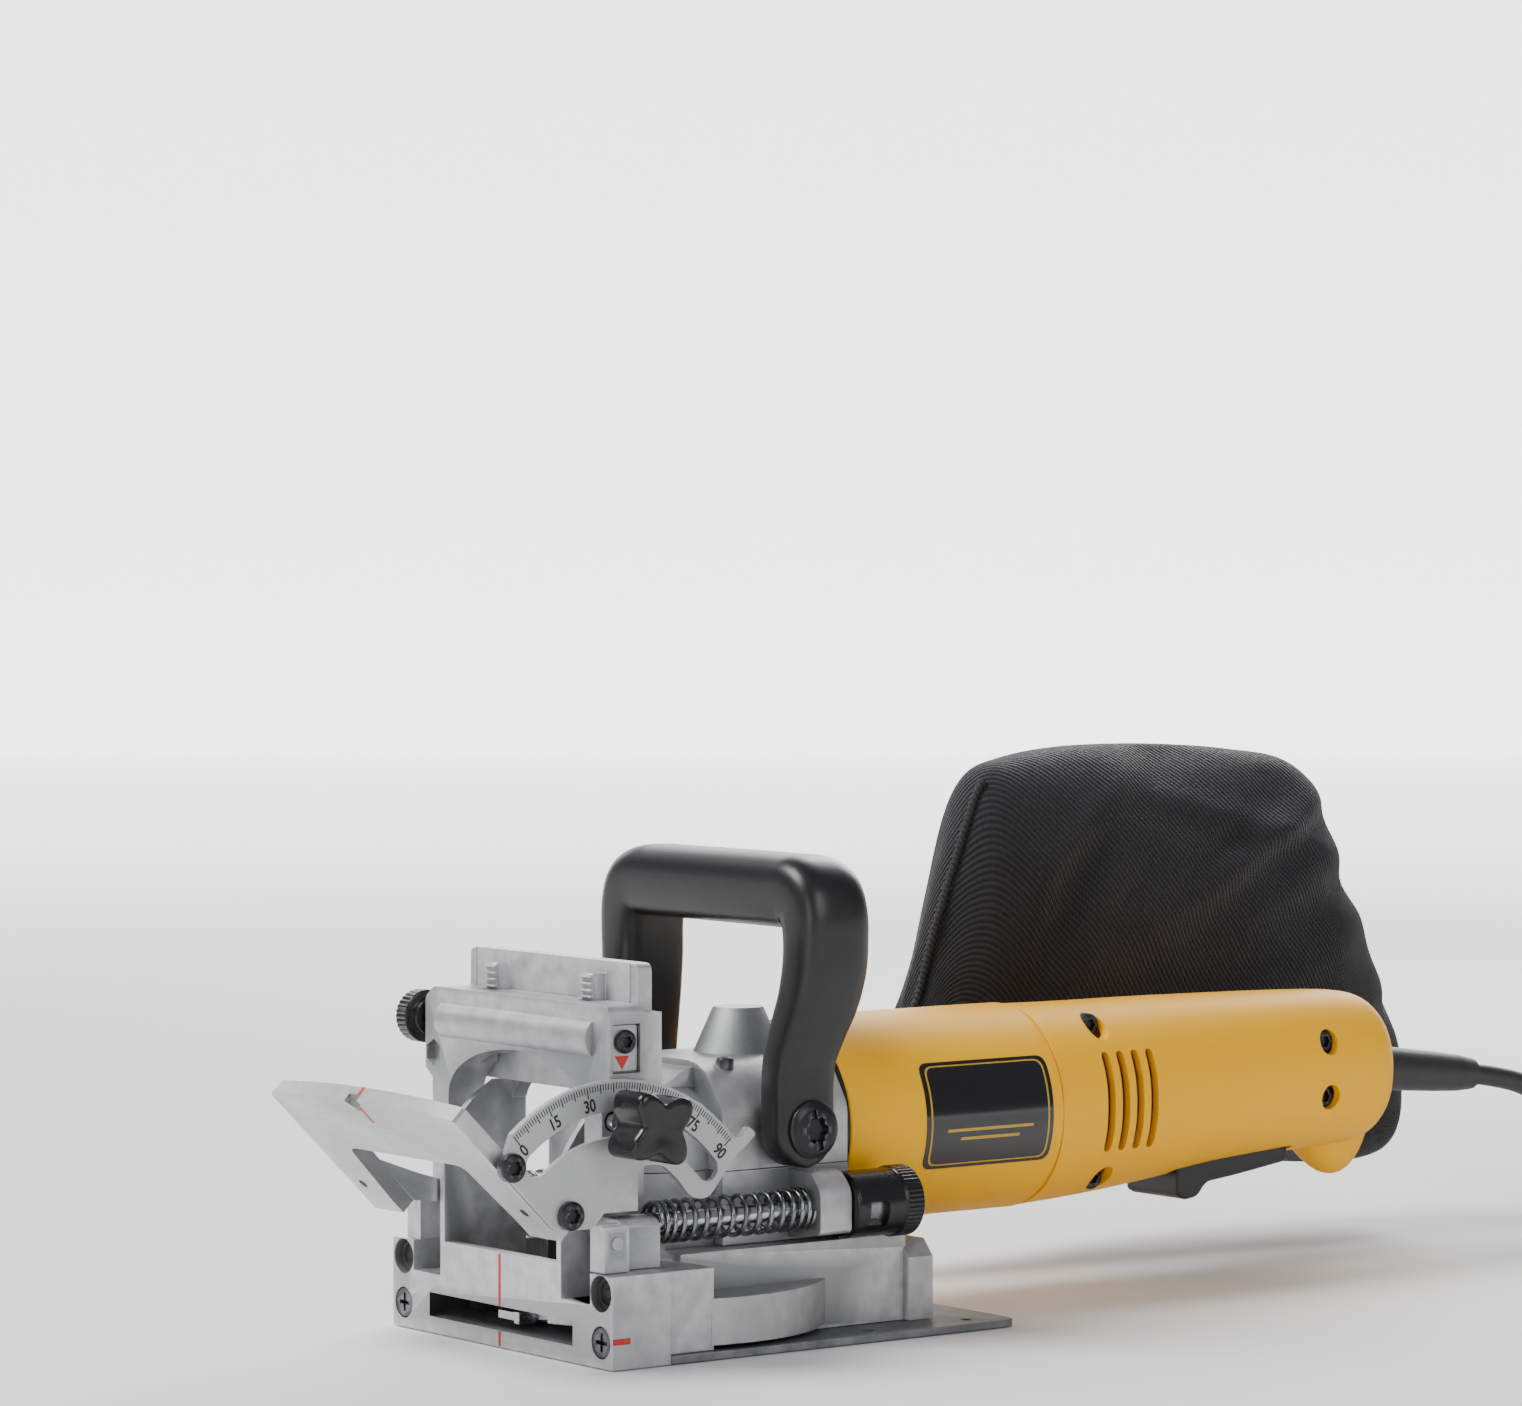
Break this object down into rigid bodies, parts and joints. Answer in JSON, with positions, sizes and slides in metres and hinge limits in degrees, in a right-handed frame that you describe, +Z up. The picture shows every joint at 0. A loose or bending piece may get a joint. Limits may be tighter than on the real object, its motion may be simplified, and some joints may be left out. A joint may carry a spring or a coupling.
{
  "type": "biscuit joiner",
  "caption": "Plunging biscuit joiner with a tilting, height-adjustable fence, sprung motor unit, bail handle, depth turret, dust bag and coiled cord.",
  "frame": {"origin": "on the underside of the base plate, directly below the blade spindle's axis", "axes": "+Z up, +Y towards the rear handle, so the cutting face looks along -Y, and +X towards the angle scale's side"},
  "size_m": [0.199, 0.6965, 0.1894],
  "materials": {
    "cast_base": "fine bead-blasted die casting, machined front face",
    "fence_aluminium": "satin machined",
    "scale_plate": "satin white with printed scale",
    "plate_coating": "matte dark grey coating",
    "bright_steel": "ground and polished",
    "blade_steel": "ground disc with brazed tips",
    "black_steel": "black oxide",
    "yellow_plastic": "satin moulded, fine grain",
    "black_plastic": "satin moulded",
    "black_rubber": "matte",
    "bag_cloth": "black twill with an overlocked seam",
    "copper_wire": "lacquered copper windings"
  },
  "bodies": {
    "base": {"front_casting": "cast_base", "rack_plate": "cast_base", "base_casting": "cast_base", "base_plate": "plate_coating", "base_screw_left": "black_steel", "base_screw_right": "black_steel", "rod_post_left": "cast_base", "rod_post_right": "cast_base", "guide_rod_left": "bright_steel", "guide_rod_right": "bright_steel", "return_spring_left": "bright_steel", "return_spring_right": "bright_steel", "dust_chute": "black_plastic", "bag_collar": "black_plastic", "dust_bag": "bag_cloth"},
    "motor_unit": {"gearcase_upper": "cast_base", "gearcase_lower": "cast_base", "spindle_shroud": "black_plastic", "fan_shroud": "yellow_plastic", "motor_housing": "yellow_plastic", "handle_shell_left": "yellow_plastic", "handle_shell_right": "yellow_plastic", "stator": "bright_steel", "front_bearing": "bright_steel", "rear_bearing": "bright_steel", "spindle_bearing": "bright_steel", "brush_holder_left": "black_plastic", "brush_holder_right": "black_plastic", "switch_module": "black_plastic", "bail_handle": "black_plastic", "handle_screw_left": "black_steel", "handle_screw_right": "black_steel", "cord_boot": "black_rubber", "cord_tube": "black_rubber", "cord_coil": "black_rubber", "plug": "black_plastic"},
    "spindle_set": {"spindle": "bright_steel", "crown_gear": "bright_steel", "blade": "blade_steel", "blade_nut": "bright_steel"},
    "armature_set": {"armature_shaft": "bright_steel", "bevel_pinion": "bright_steel", "armature_core": "copper_wire", "commutator": "copper_wire", "cooling_fan": "black_plastic"},
    "paddle": {"paddle_switch": "black_plastic"},
    "turret": {"depth_turret": "black_plastic"},
    "pin_left": {"anti_slip_pin_left": "black_rubber"},
    "pin_right": {"anti_slip_pin_right": "black_rubber"},
    "carrier": {"fence_carrier": "cast_base", "angle_pointer": "bright_steel", "pointer_screw": "black_steel", "angle_lock_stud": "bright_steel"},
    "height_drive": {"height_knob": "black_plastic", "height_pinion_shaft": "bright_steel"},
    "lock_knob": {"angle_lock_knob": "black_plastic"},
    "fence": {"fence_plate": "fence_aluminium", "angle_quadrant": "scale_plate", "quadrant_screw_lower": "black_steel", "quadrant_screw_upper": "black_steel"}
  },
  "joints": [
    {"name": "plunge", "type": "slide", "parent": "base", "child": "motor_unit", "axis": [0, -1, 0], "range_m": [0, 0.025], "stiffness_N_per_m": 350, "springref_m": -0.02, "deforming": ["return_spring_left", "return_spring_right"]},
    {"name": "spindle_spin", "type": "hinge", "parent": "motor_unit", "child": "spindle_set", "pos_m": [0, 0, 0.03], "axis": [0, 0, 1], "continuous": true},
    {"name": "armature_spin", "type": "hinge", "parent": "motor_unit", "child": "armature_set", "pos_m": [0, 0.094, 0.067], "axis": [0, 1, 0], "continuous": true},
    {"name": "paddle_press", "type": "hinge", "parent": "motor_unit", "child": "paddle", "pos_m": [0, 0.278, 0.044], "axis": [-1, 0, 0], "range_deg": [0, 5], "stiffness_Nm_per_rad": 0.2, "springref_deg": -5.73},
    {"name": "turret_turn", "type": "hinge", "parent": "motor_unit", "child": "turret", "pos_m": [0.0473, 0.062, 0.0438], "axis": [0, 1, 0], "range_deg": [-180, 180]},
    {"name": "pin_left_slide", "type": "slide", "parent": "base", "child": "pin_left", "axis": [0, -1, 0], "range_m": [0, 0.0034]},
    {"name": "pin_right_slide", "type": "slide", "parent": "base", "child": "pin_right", "axis": [0, -1, 0], "range_m": [0, 0.0034]},
    {"name": "fence_height", "type": "slide", "parent": "base", "child": "carrier", "axis": [0, 0, 1], "range_m": [0, 0.016]},
    {"name": "height_knob_turn", "type": "hinge", "parent": "carrier", "child": "height_drive", "pos_m": [0, -0.0458, 0.1046], "axis": [1, 0, 0], "range_deg": [-188, 0]},
    {"name": "angle_lock_turn", "type": "hinge", "parent": "carrier", "child": "lock_knob", "pos_m": [0.06, -0.0454, 0.078], "axis": [1, 0, 0], "range_deg": [0, 180]},
    {"name": "fence_tilt", "type": "hinge", "parent": "carrier", "child": "fence", "pos_m": [0, -0.0495, 0.031], "axis": [1, 0, 0], "range_deg": [-45, 45]}
  ],
  "couplings": [
    {"joint": "armature_spin", "follows": "spindle_spin", "ratio": 4},
    {"joint": "height_knob_turn", "follows": "fence_height", "rad_per_m": -204.08}
  ]
}
